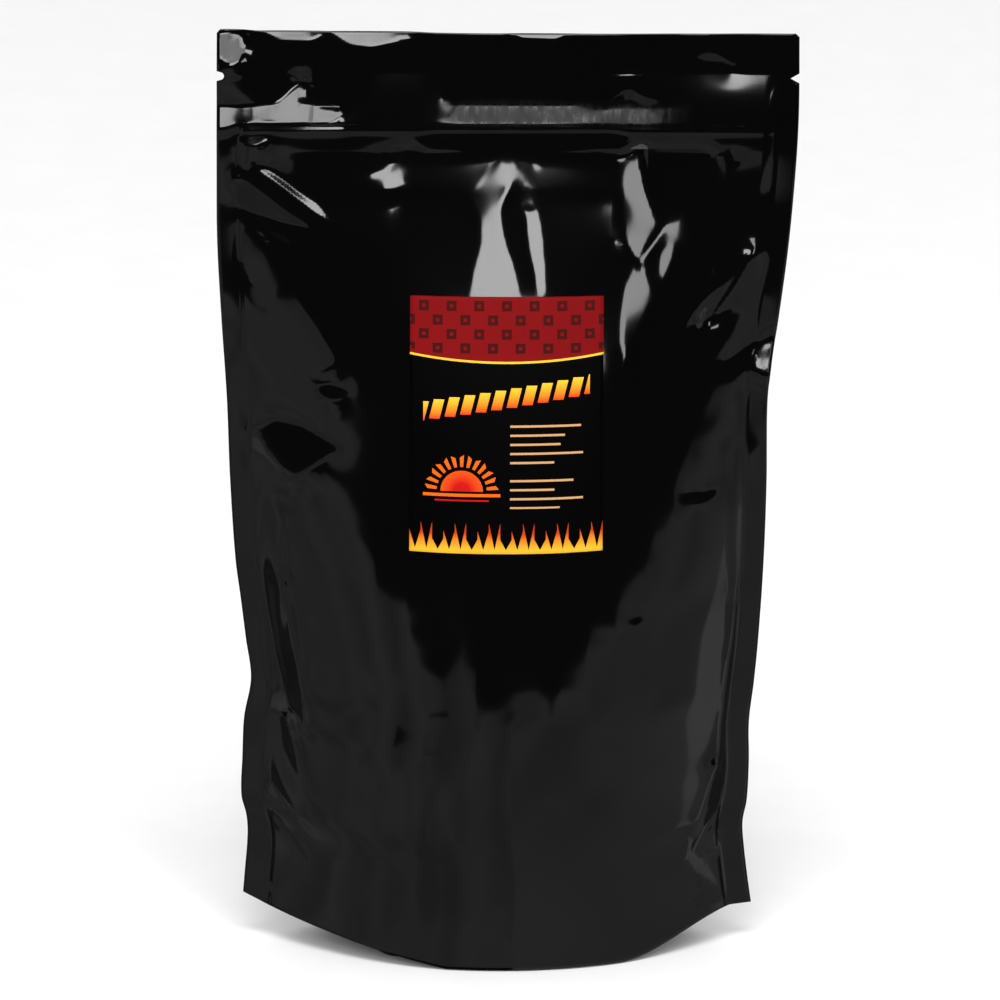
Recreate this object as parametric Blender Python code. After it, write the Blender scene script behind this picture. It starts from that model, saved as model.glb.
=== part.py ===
"""A filled stand-up pouch of black foil film, with a press-to-close zip and a front label.

Metres, +Z up. The front faces -Y and the origin is the middle of the base. Run it with
blender --background --python part.py, or from Blender's text editor.
"""

import math

import bmesh
import bpy
from mathutils import Vector, noise

MM = 0.001

# The film and the pouch as it leaves the sealing machine
WIDTH = 229 * MM
STANDING_HEIGHT = 375 * MM
FILM = 0.4 * MM
WELD_GAP = 0.3 * MM
SIDE_SEAL = 8.5 * MM
CORNER_CUT = 1.5 * MM
GUSSET_FOLD = 60 * MM

# Half the depth of the filled pouch at its middle, at heights in mm
BULGE_MM = (
    (0, 41),
    (30, 43.5),
    (75, 44.5),
    (120, 42.5),
    (170, 38),
    (220, 31),
    (260, 21.5),
    (290, 12),
    (312, 5),
    (327, 0),
    (375, 0),
)
SECTION_POWER = 2.2

# Where the left and right edges stand, at heights in mm: filling draws them in
LEFT_EDGE_MM = (
    (0, -104),
    (10, -103.4),
    (30, -102.2),
    (40, -102.7),
    (50, -104.7),
    (68, -104.3),
    (87, -103.6),
    (105, -100.9),
    (123, -103),
    (140, -105),
    (157, -107.1),
    (190, -109.2),
    (224, -110.5),
    (257, -112.6),
    (290, -114.3),
    (320, -114.5),
    (375, -114.5),
)
RIGHT_EDGE_MM = (
    (0, 98.2),
    (10, 97),
    (30, 95),
    (40, 94.6),
    (50, 96.2),
    (68, 96.9),
    (87, 96.8),
    (105, 98.7),
    (123, 100.2),
    (157, 102.1),
    (190, 103),
    (224, 103.1),
    (240, 104.6),
    (257, 107),
    (290, 111),
    (323, 113.6),
    (345, 114.5),
    (375, 114.5),
)

# The bottom corners are pulled up off the surface, over these shares of the half width
LEFT_LIFT, RIGHT_LIFT = 13.7 * MM, 14 * MM
LIFT_FADES_AT = 160 * MM
LEFT_FOOT = 0.22
RIGHT_FOOT, RIGHT_CREST = 0.52, 1.04

# The zip, welded inside both panels
ZIP_HEIGHT = STANDING_HEIGHT - 39.5 * MM
ZIP_HALF_BAND = 7 * MM
ZIP_HALF_LENGTH = WIDTH / 2 - SIDE_SEAL - 2 * MM
FLANGE_TOP = 3.2 * MM
FLANGE_OUTER, FLANGE_INNER = 1.45 * MM, 1.05 * MM
JAW_OUTER, JAW_INNER, LIP_GAP = 1.6 * MM, 1.1 * MM, 0.65 * MM
LIP_BACK, LIP_FRONT = 0.25 * MM, 0.65 * MM
STEM_HALF, HEAD_HALF, HEAD_TIP_HALF = 0.35 * MM, 0.8 * MM, 0.4 * MM
HEAD_BACK, HEAD_SHOULDER, HEAD_TIP = -0.05 * MM, -0.45 * MM, -0.75 * MM
ZIP_SWELL = FLANGE_OUTER + WELD_GAP - WELD_GAP / 2
ZIP_EDGE_SHARE = 0.985

# The tear notches: a round one at the left edge and a pointed one at the right
NOTCH_HEIGHT = STANDING_HEIGHT - 18 * MM
ROUND_NOTCH_RADIUS, ROUND_NOTCH_DEPTH = 1.8 * MM, 2.9 * MM
POINTED_NOTCH_HALF, POINTED_NOTCH_DEPTH = 2 * MM, 3.6 * MM
NOTCH_ARC_STEPS = 8

# The label, a 3 by 4 inch sticker
LABEL_HALF_WIDTH = 38.1 * MM
LABEL_BOTTOM, LABEL_TOP = 172.5 * MM, 272.5 * MM
LABEL_THICKNESS, LABEL_GAP = 0.25 * MM, 0.6 * MM
LABEL_COLUMNS, LABEL_ROWS = 10, 12

# The gusset's weld runs low at the middle and high at the corners
WELD_LOW, WELD_HIGH = 8 * MM, 44 * MM
GUSSET_REACH = 0.97
FLAT_SHARE = 0.7
ARCH_FROM, ARCH_TO = 0.45, 0.85
GUSSET_CROSSING = (0, 0.35, 0.7, 0.8, 0.9)

# The dried pods, one heap that fills most of the pouch
FILL_TOP = 240 * MM
FILL_CROWN = 12 * MM
FILL_REACH = 0.88
FILL_INSET = 9 * MM
FILL_FLOOR_GAP = 4 * MM
POD_SIZE, POD_RELIEF = 26 * MM, 3 * MM
FILL_AROUND, FILL_LAYERS, FILL_RINGS = 32, 13, 4

# Folds in mm: from x, z to x, z, then half width and height outwards
FRONT_FOLDS_MM = (
    (-103, 322, -70, 292, 7, 3.0),
    (-104, 306, -74, 284, 8, -3.2),
    (-1, 324, 8, 262, 9, 2.4),
    (60, 322, 55, 250, 9, 2.6),
    (34, 318, 32, 280, 10, -1.8),
    (-48, 322, -40, 296, 9, 1.8),
    (-99, 128, -86, 86, 8, -3.6),
    (-92, 92, -72, 62, 9, 2.4),
    (92, 96, 82, 44, 9, 3.0),
    (88, 62, 78, 34, 8, -2.6),
    (98, 262, 84, 226, 9, -2.6),
)
BACK_FOLDS_MM = (
    (96, 320, 66, 290, 8, 3.0),
    (100, 302, 74, 276, 8, -3.0),
    (12, 322, 2, 258, 10, 2.6),
    (-58, 322, -50, 262, 10, 2.4),
    (-96, 118, -82, 74, 9, -3.2),
    (94, 130, 82, 84, 9, -3.2),
    (86, 84, 76, 44, 9, 2.4),
    (-96, 262, -80, 228, 9, -2.4),
)

# The side seals buckle where the filling shortens them
SEAM_WAVE, SEAM_WAVE_LENGTH = 0.6 * MM, 64 * MM
SEAM_WAVE_FROM, SEAM_WAVE_TO = 8 * MM, 165 * MM
HEADER_WAVE, HEADER_WAVE_LENGTH, HEADER_CREST = 0.8 * MM, 184 * MM, -88 * MM
HEADER_CURL = 1.4 * MM

# The panels' grid: its rows follow the gusset's weld low down and are level above it
PANEL_COLUMNS = 16
SEAL_COLUMN_SHARES = (0.45, 1 - CORNER_CUT / SIDE_SEAL, 1)
WELD_STEPS, BLEND_STEPS = 4, 5
LEVEL_ROWS = (
    *(z * MM for z in range(75, 316, 12)),
    *(ZIP_HEIGHT + ZIP_HALF_BAND * k for k in (-1, 0, 1, 2)),
    *(STANDING_HEIGHT - z * MM for z in (17, 8)),
    STANDING_HEIGHT - CORNER_CUT,
    STANDING_HEIGHT,
)


def clear_scene():
    for found in list(bpy.data.objects):
        bpy.data.objects.remove(found)


def ease(low, high, x):
    """0 below low and 1 above high, with a smooth step between."""
    share = min(max((x - low) / (high - low), 0), 1)
    return share * share * (3 - 2 * share)


def along(stations_mm, height):
    """The value of a smooth curve through (height, value) stations, all in mm, at a height in metres."""
    at = height / MM
    stations = stations_mm
    if at <= stations[0][0]:
        return stations[0][1] * MM
    if at >= stations[-1][0]:
        return stations[-1][1] * MM
    last = len(stations) - 1
    i = max(k for k in range(last) if stations[k][0] <= at)

    def slope(k):
        low, high = stations[max(k - 1, 0)], stations[min(k + 1, last)]
        return (high[1] - low[1]) / (high[0] - low[0])

    (z0, v0), (z1, v1) = stations[i], stations[i + 1]
    span = z1 - z0
    s = (at - z0) / span
    value = (
        (2 * s**3 - 3 * s**2 + 1) * v0
        + (s**3 - 2 * s**2 + s) * span * slope(i)
        + (3 * s**2 - 2 * s**3) * v1
        + (s**3 - s**2) * span * slope(i + 1)
    )
    return value * MM


def folds(folds_mm, x, z):
    """How far the folds push the film outwards at x, z."""
    total = 0
    here = Vector((x, z)) / MM
    for x0, z0, x1, z1, half_width, height in folds_mm:
        start, run = Vector((x0, z0)), Vector((x1 - x0, z1 - z0))
        share = (here - start).dot(run) / run.length_squared
        nearest = start + run * min(max(share, 0), 1)
        total += height * math.exp(-(((here - nearest).length / half_width) ** 2))
    return total * MM


def section(z0):
    """The middle and half width of the film between the side seals, at the flat height z0."""
    left = along(LEFT_EDGE_MM, z0) + SIDE_SEAL
    right = along(RIGHT_EDGE_MM, z0) - SIDE_SEAL
    return (left + right) / 2, (right - left) / 2


def corner_share(across):
    """How much of the corner's lift a point has, from 0 on the foot to 1 at a side seal."""
    if across > 0:
        return ease(RIGHT_FOOT, RIGHT_CREST, across)
    return max(-across - LEFT_FOOT, 0) / (1 - LEFT_FOOT)


def lift(across, z0):
    corner = LEFT_LIFT if across < 0 else RIGHT_LIFT
    return corner * corner_share(across) * max(1 - z0 / LIFT_FADES_AT, 0) ** 2


def seam_wave(across, z0):
    """The buckle of a side seal, which fades out towards the middle of the panel."""
    if not SEAM_WAVE_FROM < z0 < SEAM_WAVE_TO:
        return 0
    share = (z0 - SEAM_WAVE_FROM) / (SEAM_WAVE_TO - SEAM_WAVE_FROM)
    phase = 0.4 if across < 0 else 2.3
    wave = math.sin(2 * math.pi * z0 / SEAM_WAVE_LENGTH + phase)
    return SEAM_WAVE * wave * math.sin(math.pi * share) * abs(across) ** 4


def header_wave(x, z0):
    """How far the header above the zip waves and curls back."""
    up = ease(ZIP_HEIGHT + ZIP_HALF_BAND, STANDING_HEIGHT, z0)
    wave = HEADER_WAVE * math.cos(2 * math.pi * (x - HEADER_CREST) / HEADER_WAVE_LENGTH)
    return (wave + HEADER_CURL) * up


def zip_swell(across, z0):
    """How far the film stands off to pass over the zip."""
    below = ease(ZIP_HEIGHT - 32 * MM, ZIP_HEIGHT - ZIP_HALF_BAND - MM, z0)
    above = 1 - ease(ZIP_HEIGHT + ZIP_HALF_BAND + MM, ZIP_HEIGHT + 2 * ZIP_HALF_BAND, z0)
    ends = min((1 - abs(across)) / (1 - ZIP_EDGE_SHARE), 1)
    return ZIP_SWELL * below * above * ends


def film_depth(side, across, x, z0):
    """From the weld plane to the inner face of the front (side -1) or back (side 1) panel."""
    bulge = along(BULGE_MM, z0) * (1 - abs(across) ** SECTION_POWER)
    relief = folds(FRONT_FOLDS_MM if side < 0 else BACK_FOLDS_MM, x, z0)
    relief *= ease(0, 8 * MM, bulge)
    return WELD_GAP / 2 + max(bulge + relief, 0) + zip_swell(across, z0)


def film_point(side, column, z0, outward=0.0):
    """A point of a panel's inner face, moved outward. Past 1 or -1 the column is on a side seal."""
    across = min(max(column, -1), 1)
    middle, half = section(z0)
    x = middle + across * half + (column - across) * SIDE_SEAL
    depth = film_depth(side, across, x, z0) + outward
    y = side * depth + seam_wave(across, z0) + header_wave(x, z0)
    return Vector((x, y, z0 + lift(across, z0)))


def add_object(name, points, faces, material, sheet=0.0):
    """A mesh object. A sheet is given its thickness on the side that its faces look to."""
    mesh = bpy.data.meshes.new(name)
    mesh.from_pydata(points, [], faces)
    mesh.update()
    made = bpy.data.objects.new(name, mesh)
    bpy.context.scene.collection.objects.link(made)
    mesh.materials.append(material)
    if sheet:
        thicken = made.modifiers.new("Thickness", "SOLIDIFY")
        thicken.thickness = sheet
        thicken.offset = 1
    return made


def finish(made, angle=35):
    made.data.shade_smooth()
    made.data.set_sharp_from_angle(angle=math.radians(angle))


def grid_faces(rows, columns, turned=False, first=0):
    """Triangles over a grid of points kept row by row. first shifts which way the quads split."""
    faces = []
    for r in range(rows - 1):
        for c in range(columns - 1):
            a, b = r * columns + c, r * columns + c + 1
            d, e = a + columns, b + columns
            odd = (r + c + first) % 2
            faces += [(a, b, e), (a, e, d)] if odd else [(a, b, d), (b, e, d)]
    return [face[::-1] for face in faces] if turned else faces


def film_material(name, color, roughness, metallic=0.0):
    material = bpy.data.materials.new(name)
    material.use_nodes = True
    shader = material.node_tree.nodes["Principled BSDF"]
    shader.inputs["Base Color"].default_value = (*color, 1)
    shader.inputs["Roughness"].default_value = roughness
    shader.inputs["Metallic"].default_value = metallic
    return material


def panel_columns():
    """Grid columns from the left edge to the right, closer together towards the seals."""
    steps = [2 * k / PANEL_COLUMNS - 1 for k in range(1, PANEL_COLUMNS)]
    free = [0.6 * u + 0.4 * math.sin(math.pi * u / 2) for u in steps]
    seal = [1 + share for share in SEAL_COLUMN_SHARES]
    right = [GUSSET_REACH, ZIP_EDGE_SHARE, 1, *seal]
    return [-c for c in reversed(right)] + free + right


def column_heights(column):
    """Flat heights of a panel column's points, from the bottom edge up."""
    weld = weld_height(min(abs(column), 1))
    above = LEVEL_ROWS[0] - weld
    welded = [weld * k / WELD_STEPS for k in range(WELD_STEPS)]
    blended = [weld + above * k / BLEND_STEPS for k in range(BLEND_STEPS)]
    return [*welded, *blended, *LEVEL_ROWS]


def panel(name, side, material):
    """One film panel, from its bottom edge to the sealed top, with cut top corners."""
    columns = panel_columns()
    heights = [column_heights(column) for column in columns]
    points = []
    for row in zip(*heights):
        points += [film_point(side, column, z0) for column, z0 in zip(columns, row)]
    points[-len(columns)].z -= CORNER_CUT
    points[-1].z -= CORNER_CUT
    faces = grid_faces(len(heights[0]), len(columns), turned=side > 0)
    return add_object(name, points, faces, material, sheet=FILM)


def notch_outline(edge, inward, rounded):
    """Corners (x, z) of a tear notch that opens past an edge."""
    out = edge - inward * 4 * MM
    if not rounded:
        tip = edge + inward * POINTED_NOTCH_DEPTH
        slant = POINTED_NOTCH_HALF / POINTED_NOTCH_DEPTH
        mouth = slant * abs(tip - out)
        return [(out, -mouth), (tip, 0), (out, mouth)]
    centre = edge + inward * (ROUND_NOTCH_DEPTH - ROUND_NOTCH_RADIUS)
    outline = [(out, -ROUND_NOTCH_RADIUS)]
    for k in range(NOTCH_ARC_STEPS + 1):
        angle = math.pi * (k / NOTCH_ARC_STEPS - 0.5)
        x = centre + inward * ROUND_NOTCH_RADIUS * math.cos(angle)
        outline.append((x, ROUND_NOTCH_RADIUS * math.sin(angle)))
    return outline + [(out, ROUND_NOTCH_RADIUS)]


def notch_cutter(name, outline):
    """A prism along Y that cuts a notch through both panels."""
    work = bmesh.new()
    reach = 12 * MM
    face = work.faces.new([work.verts.new((x, -reach, NOTCH_HEIGHT + z)) for x, z in outline])
    swept = bmesh.ops.extrude_face_region(work, geom=[face])["geom"]
    moved = [v for v in swept if isinstance(v, bmesh.types.BMVert)]
    bmesh.ops.translate(work, verts=moved, vec=(0, 2 * reach, 0))
    bmesh.ops.recalc_face_normals(work, faces=work.faces)
    mesh = bpy.data.meshes.new(name)
    work.to_mesh(mesh)
    work.free()
    cutter = bpy.data.objects.new(name, mesh)
    bpy.context.scene.collection.objects.link(cutter)
    cutter.hide_render = True
    cutter.display_type = "WIRE"
    return cutter


def cut(made, cutter):
    notch = made.modifiers.new(cutter.name, "BOOLEAN")
    notch.operation = "DIFFERENCE"
    notch.object = cutter


def weld_height(across):
    """How high up the panels the gusset is welded."""
    return WELD_LOW + WELD_HIGH * abs(across) ** 3


def gusset_height(across, share):
    """Height of the gusset's upper face, at a share of the way from its middle to a panel."""
    weld = weld_height(across)
    top = film_point(-1, across, weld).z
    floor = FILM + (top - FILM) * (max(share - FLAT_SHARE, 0) / (1 - FLAT_SHARE)) ** 2
    half = max(abs(film_point(-1, across, weld).y), MM)
    crest = top + math.sqrt(max((GUSSET_FOLD - weld) ** 2 - half**2, 0))
    arch = top + (crest - top) * (1 - share**1.3)
    arched = ease(ARCH_FROM, ARCH_TO, abs(across))
    return floor + (arch - floor) * arched


def gusset(material):
    """The folded bottom web: welded wings up both panels, and a floor that rises to each corner."""
    columns = [c for c in panel_columns() if abs(c) <= GUSSET_REACH]
    lines = []
    for across in columns:
        welded = column_heights(across)[: WELD_STEPS + 1]
        front = [film_point(-1, across, z0, -WELD_GAP) for z0 in welded]
        back = [film_point(1, across, z0, -WELD_GAP) for z0 in welded]
        middle = (front[-1] + back[-1]) / 2
        crossing = [(front[-1], share) for share in GUSSET_CROSSING[:0:-1]]
        crossing += [(back[-1], share) for share in GUSSET_CROSSING]
        line = front + [middle.lerp(wing, share) for wing, share in crossing] + back[::-1]
        for k, (_, share) in enumerate(crossing, start=len(front)):
            line[k].z = gusset_height(across, share)
        lines.append(line)
    points = [line[k] for k in range(len(lines[0])) for line in lines]
    faces = grid_faces(len(lines[0]), len(columns), turned=True, first=1)
    return add_object("gusset", points, faces, material, sheet=FILM)


def zip_track(name, outline, material):
    """A zip profile, given as corners (y, z) and cut off at the flange's top, drawn out along X."""
    work = bmesh.new()
    start = -ZIP_HALF_LENGTH
    outline = [(y, min(z, FLANGE_TOP)) for y, z in outline]
    face = work.faces.new([work.verts.new((start, y, ZIP_HEIGHT + z)) for y, z in outline])
    swept = bmesh.ops.extrude_face_region(work, geom=[face])["geom"]
    moved = [v for v in swept if isinstance(v, bmesh.types.BMVert)]
    bmesh.ops.translate(work, verts=moved, vec=(2 * ZIP_HALF_LENGTH, 0, 0))
    bmesh.ops.recalc_face_normals(work, faces=work.faces)
    mesh = bpy.data.meshes.new(name)
    work.to_mesh(mesh)
    work.free()
    made = bpy.data.objects.new(name, mesh)
    bpy.context.scene.collection.objects.link(made)
    mesh.materials.append(material)
    return made


def mirrored(half_outline):
    """A closed outline from the half of it above z = 0, given from back to front."""
    return half_outline + [(y, -z) for y, z in reversed(half_outline)]


def zip_channel(material):
    """The channel track on the front panel: two jaws with inward lips."""
    half = [
        (LIP_BACK, LIP_GAP),
        (LIP_FRONT, LIP_GAP),
        (LIP_FRONT, JAW_OUTER),
        (-FLANGE_INNER, JAW_OUTER),
        (-FLANGE_INNER, ZIP_HALF_BAND),
        (-FLANGE_OUTER, ZIP_HALF_BAND),
    ]
    inner = [(-FLANGE_INNER, -JAW_INNER), (LIP_BACK, -JAW_INNER)]
    outline = [(-FLANGE_INNER, JAW_INNER), (LIP_BACK, JAW_INNER)] + mirrored(half) + inner[::-1]
    return zip_track("zip_channel", outline, material)


def zip_rib(material):
    """The rib track on the back panel: a stem with a head that snaps behind the lips."""
    half = [
        (FLANGE_OUTER, ZIP_HALF_BAND),
        (FLANGE_INNER, ZIP_HALF_BAND),
        (FLANGE_INNER, STEM_HALF),
        (HEAD_BACK, STEM_HALF),
        (HEAD_BACK, HEAD_HALF),
        (HEAD_SHOULDER, HEAD_HALF),
        (HEAD_TIP, HEAD_TIP_HALF),
    ]
    return zip_track("zip_rib", mirrored(half), material)


def label(material):
    """The sticker, laid over the front panel and just clear of it."""
    points = []
    for r in range(LABEL_ROWS + 1):
        z0 = LABEL_BOTTOM + (LABEL_TOP - LABEL_BOTTOM) * r / LABEL_ROWS
        middle, half = section(z0)
        for c in range(LABEL_COLUMNS + 1):
            x = LABEL_HALF_WIDTH * (2 * c / LABEL_COLUMNS - 1)
            points.append(film_point(-1, (x - middle) / half, z0, FILM + LABEL_GAP))
    faces = grid_faces(LABEL_ROWS + 1, LABEL_COLUMNS + 1)
    return add_object("label", points, faces, material, sheet=LABEL_THICKNESS)


def pod_relief(point):
    """Rounded lumps, about as far apart as the pods are long."""
    nearest = noise.voronoi(point / POD_SIZE)[0][0]
    return POD_RELIEF * (1 - min(nearest, 1) ** 2)


def fill_point(angle, layer, ring=1.0):
    """A point of the heap: layer 0 lies over the gusset and 1 is its top, ring 0 is its middle."""
    turn = math.cos(angle)
    across = FILL_REACH * turn * ring
    lens = (1 - abs(turn) ** SECTION_POWER) ** 0.8
    side = -1 if math.sin(angle) > 0 else 1
    under = [gusset_height(across + step, min(lens * ring, 1)) for step in (-0.06, 0, 0.06)]
    low = max(under) + FILL_FLOOR_GAP
    top = FILL_TOP + FILL_CROWN * (1 - ring**2)
    z = low + (top - low) * layer
    middle, half = section(z)
    depth = max(along(BULGE_MM, z) - FILL_INSET, 2 * MM)
    point = Vector((middle + across * half, side * lens * ring * depth, z))
    lump = pod_relief(point)
    if layer > 0 and ring == 1:
        point.y += side * lump * lens
    if layer == 1:
        point.z += lump
    return point


def dried_pods(material):
    """The heap of pods as one closed lumpy body: a wall of layers, then rings over each end."""
    angles = [2 * math.pi * k / FILL_AROUND for k in range(FILL_AROUND)]
    loops = [(0, k / FILL_RINGS) for k in range(1, FILL_RINGS)]
    loops += [(k / FILL_LAYERS, 1) for k in range(FILL_LAYERS + 1)]
    loops += [(1, 1 - k / FILL_RINGS) for k in range(1, FILL_RINGS)]
    points = [fill_point(angle, layer, ring) for layer, ring in loops for angle in angles]
    faces = []
    for k in range(len(loops) - 1):
        for i in range(FILL_AROUND):
            a, b = k * FILL_AROUND + i, k * FILL_AROUND + (i + 1) % FILL_AROUND
            faces += [(b, a, a + FILL_AROUND), (b, a + FILL_AROUND, b + FILL_AROUND)]
    ends = (len(points), len(points) + 1)
    points += [fill_point(0, 0, 0), fill_point(0, 1, 0)]
    last = (len(loops) - 1) * FILL_AROUND
    for i in range(FILL_AROUND):
        j = (i + 1) % FILL_AROUND
        faces += [(ends[0], i, j), (ends[1], last + j, last + i)]
    return add_object("dried_pods", points, faces, material)


def main():
    clear_scene()
    film = film_material("black_film", (0.012, 0.012, 0.013), 0.12)
    track = film_material("zip_plastic", (0.05, 0.05, 0.055), 0.35)
    paper = film_material("label_paper", (0.42, 0.035, 0.03), 0.4)
    pods = film_material("dried_pod_skin", (0.32, 0.035, 0.015), 0.6)

    panels = [panel("front_panel", -1, film), panel("back_panel", 1, film)]
    edge = WIDTH / 2
    notches = [
        notch_cutter("round_notch", notch_outline(-edge, 1, rounded=True)),
        notch_cutter("pointed_notch", notch_outline(edge, -1, rounded=False)),
    ]
    for made in panels:
        for cutter in notches:
            cut(made, cutter)
    sheets = [gusset(film), label(paper), dried_pods(pods)]
    zip_channel(track)
    zip_rib(track)
    for made in panels + sheets:
        finish(made)


main()
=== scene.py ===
"""The look of a filled stand-up pouch of glossy black film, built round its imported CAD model."""

import math

import bpy
import numpy as np
from mathutils import Euler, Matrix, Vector, noise


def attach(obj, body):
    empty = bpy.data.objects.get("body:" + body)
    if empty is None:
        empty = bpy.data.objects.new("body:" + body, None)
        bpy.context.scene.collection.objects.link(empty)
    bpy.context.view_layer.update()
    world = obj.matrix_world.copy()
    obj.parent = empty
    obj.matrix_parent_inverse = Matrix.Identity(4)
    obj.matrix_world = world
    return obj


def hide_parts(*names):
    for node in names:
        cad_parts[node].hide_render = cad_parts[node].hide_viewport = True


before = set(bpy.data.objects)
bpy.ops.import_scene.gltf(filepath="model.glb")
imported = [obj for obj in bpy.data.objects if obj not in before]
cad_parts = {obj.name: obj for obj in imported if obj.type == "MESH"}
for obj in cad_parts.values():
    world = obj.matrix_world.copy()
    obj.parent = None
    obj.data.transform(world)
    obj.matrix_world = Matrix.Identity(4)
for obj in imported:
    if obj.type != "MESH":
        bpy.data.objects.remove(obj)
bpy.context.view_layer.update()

MM = 0.001

# The CAD's own named values
STANDING_HEIGHT = 375 * MM
SIDE_SEAL = 8.5 * MM
CORNER_CUT = 1.5 * MM
GUSSET_FOLD = 60 * MM
BULGE_MM = (
    *((0, 41), (30, 43.5), (75, 44.5), (120, 42.5), (170, 38), (220, 31)),
    *((260, 21.5), (290, 12), (312, 5), (327, 0), (375, 0)),
)
SECTION_POWER = 2.2
LEFT_EDGE_MM = (
    *((0, -104), (10, -103.4), (30, -102.2), (40, -102.7), (50, -104.7), (68, -104.3)),
    *((87, -103.6), (105, -100.9), (123, -103), (140, -105), (157, -107.1), (190, -109.2)),
    *((224, -110.5), (257, -112.6), (290, -114.3), (320, -114.5), (375, -114.5)),
)
RIGHT_EDGE_MM = (
    *((0, 98.2), (10, 97), (30, 95), (40, 94.6), (50, 96.2), (68, 96.9)),
    *((87, 96.8), (105, 98.7), (123, 100.2), (157, 102.1), (190, 103), (224, 103.1)),
    *((240, 104.6), (257, 107), (290, 111), (323, 113.6), (345, 114.5), (375, 114.5)),
)
LEFT_LIFT, RIGHT_LIFT = 13.7 * MM, 14 * MM
LIFT_FADES_AT = 160 * MM
LEFT_FOOT = 0.22
RIGHT_FOOT, RIGHT_CREST = 0.52, 1.04
ZIP_HEIGHT = STANDING_HEIGHT - 39.5 * MM
ZIP_HALF_BAND = 7 * MM
NOTCH_HEIGHT = STANDING_HEIGHT - 18 * MM
ROUND_NOTCH_RADIUS, ROUND_NOTCH_DEPTH = 1.8 * MM, 2.9 * MM
POINTED_NOTCH_HALF, POINTED_NOTCH_DEPTH = 2 * MM, 3.6 * MM
LABEL_HALF_WIDTH = 38.1 * MM
LABEL_BOTTOM, LABEL_TOP = 172.5 * MM, 272.5 * MM
WELD_LOW, WELD_HIGH = 8 * MM, 44 * MM
ARCH_FROM, ARCH_TO = 0.45, 0.85
FLAT_SHARE = 0.7
SEAM_WAVE, SEAM_WAVE_LENGTH = 0.6 * MM, 64 * MM
SEAM_WAVE_FROM, SEAM_WAVE_TO = 8 * MM, 165 * MM
LEFT_SEAM_PHASE, RIGHT_SEAM_PHASE = 0.4, 2.3
HEADER_WAVE, HEADER_WAVE_LENGTH, HEADER_CREST = 0.8 * MM, 184 * MM, -88 * MM
HEADER_CURL = 1.4 * MM

# How much higher the left seal's outer corner stands than its inner one
LEFT_SEAL_RISE = 3.4 * MM
# How far the side seals lean back, up to which heights, and over which stretch below these the lean ends
SEAL_LEAN, SEAL_LEAN_FADE = 0.42, 60 * MM
LEFT_LEAN_TOP, RIGHT_LEAN_TOP = 270 * MM, 220 * MM
# A sharp fold: how it falls off beside its crest, how round the crest is, and where its distance starts
FOLD_FALL, FOLD_ROUNDING, FOLD_CREST = 1.6, 0.06, 0.245
# The bulge at which the folds, and the lumps in the film, have their full height
FOLDS_FULL_AT, LUMPS_FULL_AT = 3 * MM, 40 * MM

# The film over the zip, in mm above the zip's line: how far a flat stands out, where it starts and is full,
# and the flange's top, from where it slopes back
FLAT_MM, FLAT_FROM, FLAT_FULL, FLANGE_TOP = 2.5, -32, -7, 3.2
# How far that slope reaches, from side to side: (share across, mm)
LEDGE = ((-1, 6.6), (-0.62, 6.6), (-0.5, 20), (-0.3, 20), (-0.2, 6.9), (0.26, 6.9), (0.36, 20), (1, 20))
# The zip's tracks under the film: height, place and half width in mm
TRACKS_MM = ((0.14, 0.4, 1.4), (-0.1, 2.4, 0.8))
# What is left of all this at a side seal, and the share of the width over which it grows
ZIP_END, ZIP_END_WIDTH = 0.3, 0.03

# Noise in the film: its height and its sizes along x and z in mm, and its layer; and a seed's own offset
LUMPS, FINE_LUMPS, CRINKLES = (0.24, 24, 30, 0), (0.05, 8, 10, 5), (0.08, 3, 16, 2.5)
SEED_STEP = (7.31, 3.17, 1.73)
# Where the crinkles start, are full, fade and end, in mm above the zip's line
CRINKLE_FROM, CRINKLE_FULL, CRINKLE_FADE, CRINKLE_TO = 2, 4.5, 9, 13
# The share of the width over which they fade at a seal
CRINKLE_END_WIDTH = 0.05

# The real film, which is thinner than the CAD's
FILM = 0.14 * MM
SEAL_HALF = 0.17 * MM
GUSSET_GAP = 0.05 * MM
GUSSET_REACH = 0.985
LABEL_GAP = 0.05 * MM
LABEL_THICKNESS = 0.1 * MM

# The grids: cells across and up the label, across the web, up its weld and over half of it, and in a seal
LABEL_COLUMNS, LABEL_ROWS = 48, 64
WEB_COLUMNS, WEB_WELD_ROWS, WEB_STEPS = 120, 8, 24
SEAL_COLUMNS = 6
# In degrees
SHARP_ANGLE = 60
# The web's middle clears the table by this much, and its ends rise in an arch
WEB_CLEARANCE, WEB_ARCH_POWER = 0.2 * MM, 1.3
# The top corners are rounded by moving the rows over this height
TOP_CORNER_ROWS = 4 * MM

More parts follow.
